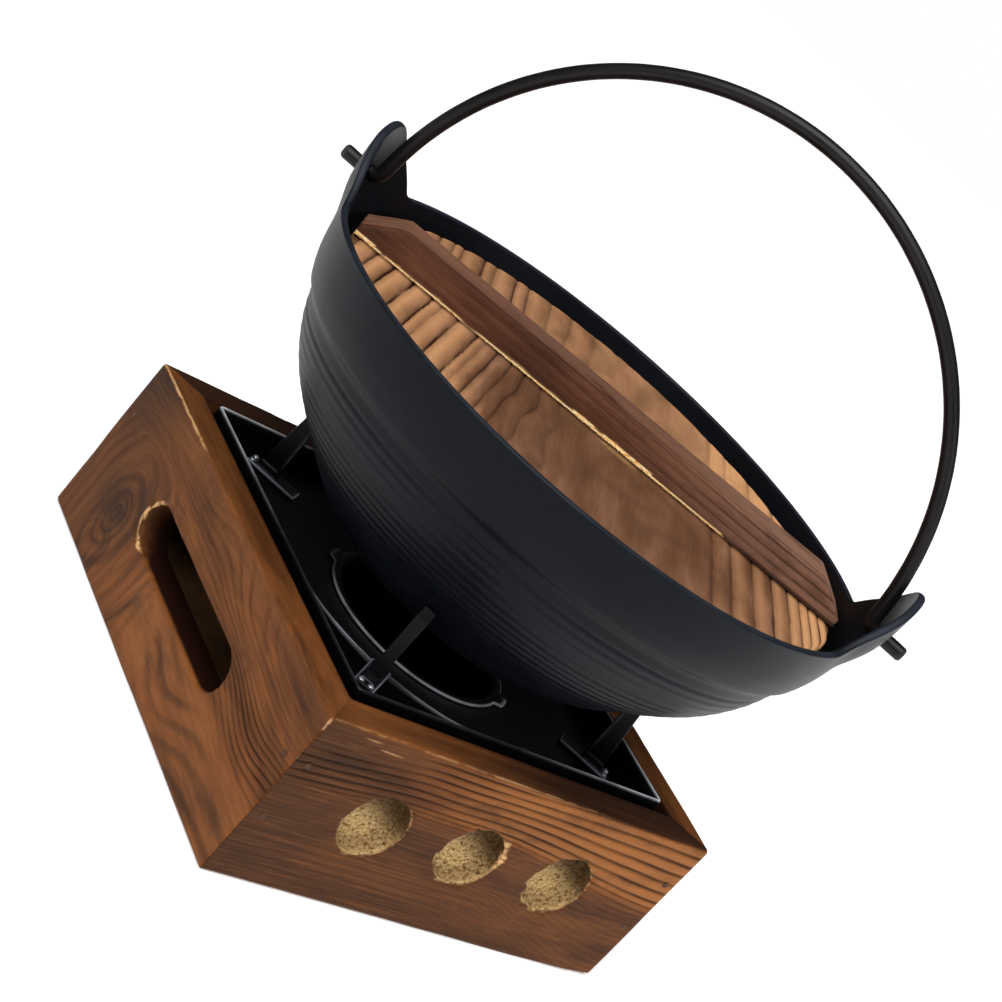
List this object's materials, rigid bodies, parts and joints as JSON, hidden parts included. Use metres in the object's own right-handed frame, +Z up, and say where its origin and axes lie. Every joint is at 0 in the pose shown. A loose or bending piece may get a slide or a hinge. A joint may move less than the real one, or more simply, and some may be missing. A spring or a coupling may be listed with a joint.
{
  "type": "tabletop hibachi stove with hanging pot",
  "caption": "Small tabletop hibachi: burnt-wood stove box with black burner tray and claws, carrying a flared iron pot with a swinging bail and a wooden drop-in lid.",
  "frame": {"origin": "centre of the square stove box's footprint, on the table", "axes": "+Z up; the side boards face -X, +X, -Y and +Y, with the hand slots in the -X and +X boards"},
  "size_m": [0.2372, 0.2372, 0.2884],
  "materials": {
    "burnt_wood": "brushed burnt softwood",
    "plain_wood": "plain sawn",
    "lid_wood": "lightly burnt and brushed",
    "batten_wood": "burnt",
    "black_tray": "gloss black",
    "black_claws": "satin black",
    "black_iron": "satin black",
    "black_rod": "satin black",
    "nail_steel": "dull"
  },
  "bodies": {
    "stove_box": {"board_slot_left": "burnt_wood", "board_recess_front": "burnt_wood", "board_slot_right": "burnt_wood", "board_recess_back": "burnt_wood", "base_panel": "plain_wood", "ledger_left": "plain_wood", "ledger_front": "plain_wood", "ledger_right": "plain_wood", "ledger_back": "plain_wood", "corner_brads": "nail_steel", "ledger_nails": "nail_steel"},
    "burner_tray": {"tray": "black_tray", "claw_front": "black_claws", "claw_right": "black_claws", "claw_back": "black_claws", "claw_left": "black_claws", "claw_rivets": "black_claws"},
    "fuel_cup": {"fuel_cup": "black_tray"},
    "pot": {"pot": "black_iron"},
    "bail": {"bail": "black_rod"},
    "lid": {"lid_board": "lid_wood", "lid_batten": "batten_wood", "lid_screws": "nail_steel"}
  },
  "joints": [
    {"name": "tray_lift", "type": "slide", "parent": "stove_box", "child": "burner_tray", "axis": [0, 0, 1], "range_m": [0, 0.03]},
    {"name": "cup_lift", "type": "slide", "parent": "burner_tray", "child": "fuel_cup", "axis": [0, 0, 1], "range_m": [0, 0.02]},
    {"name": "pot_lift", "type": "slide", "parent": "burner_tray", "child": "pot", "axis": [0, 0, 1], "range_m": [0, 0.06]},
    {"name": "bail_swing", "type": "hinge", "parent": "pot", "child": "bail", "pos_m": [0, 0, 0.1731], "axis": [0.682, -0.7314, 0], "range_deg": [-80, 80]},
    {"name": "lid_lift", "type": "slide", "parent": "pot", "child": "lid", "axis": [0, 0, 1], "range_m": [0, 0.022]}
  ]
}
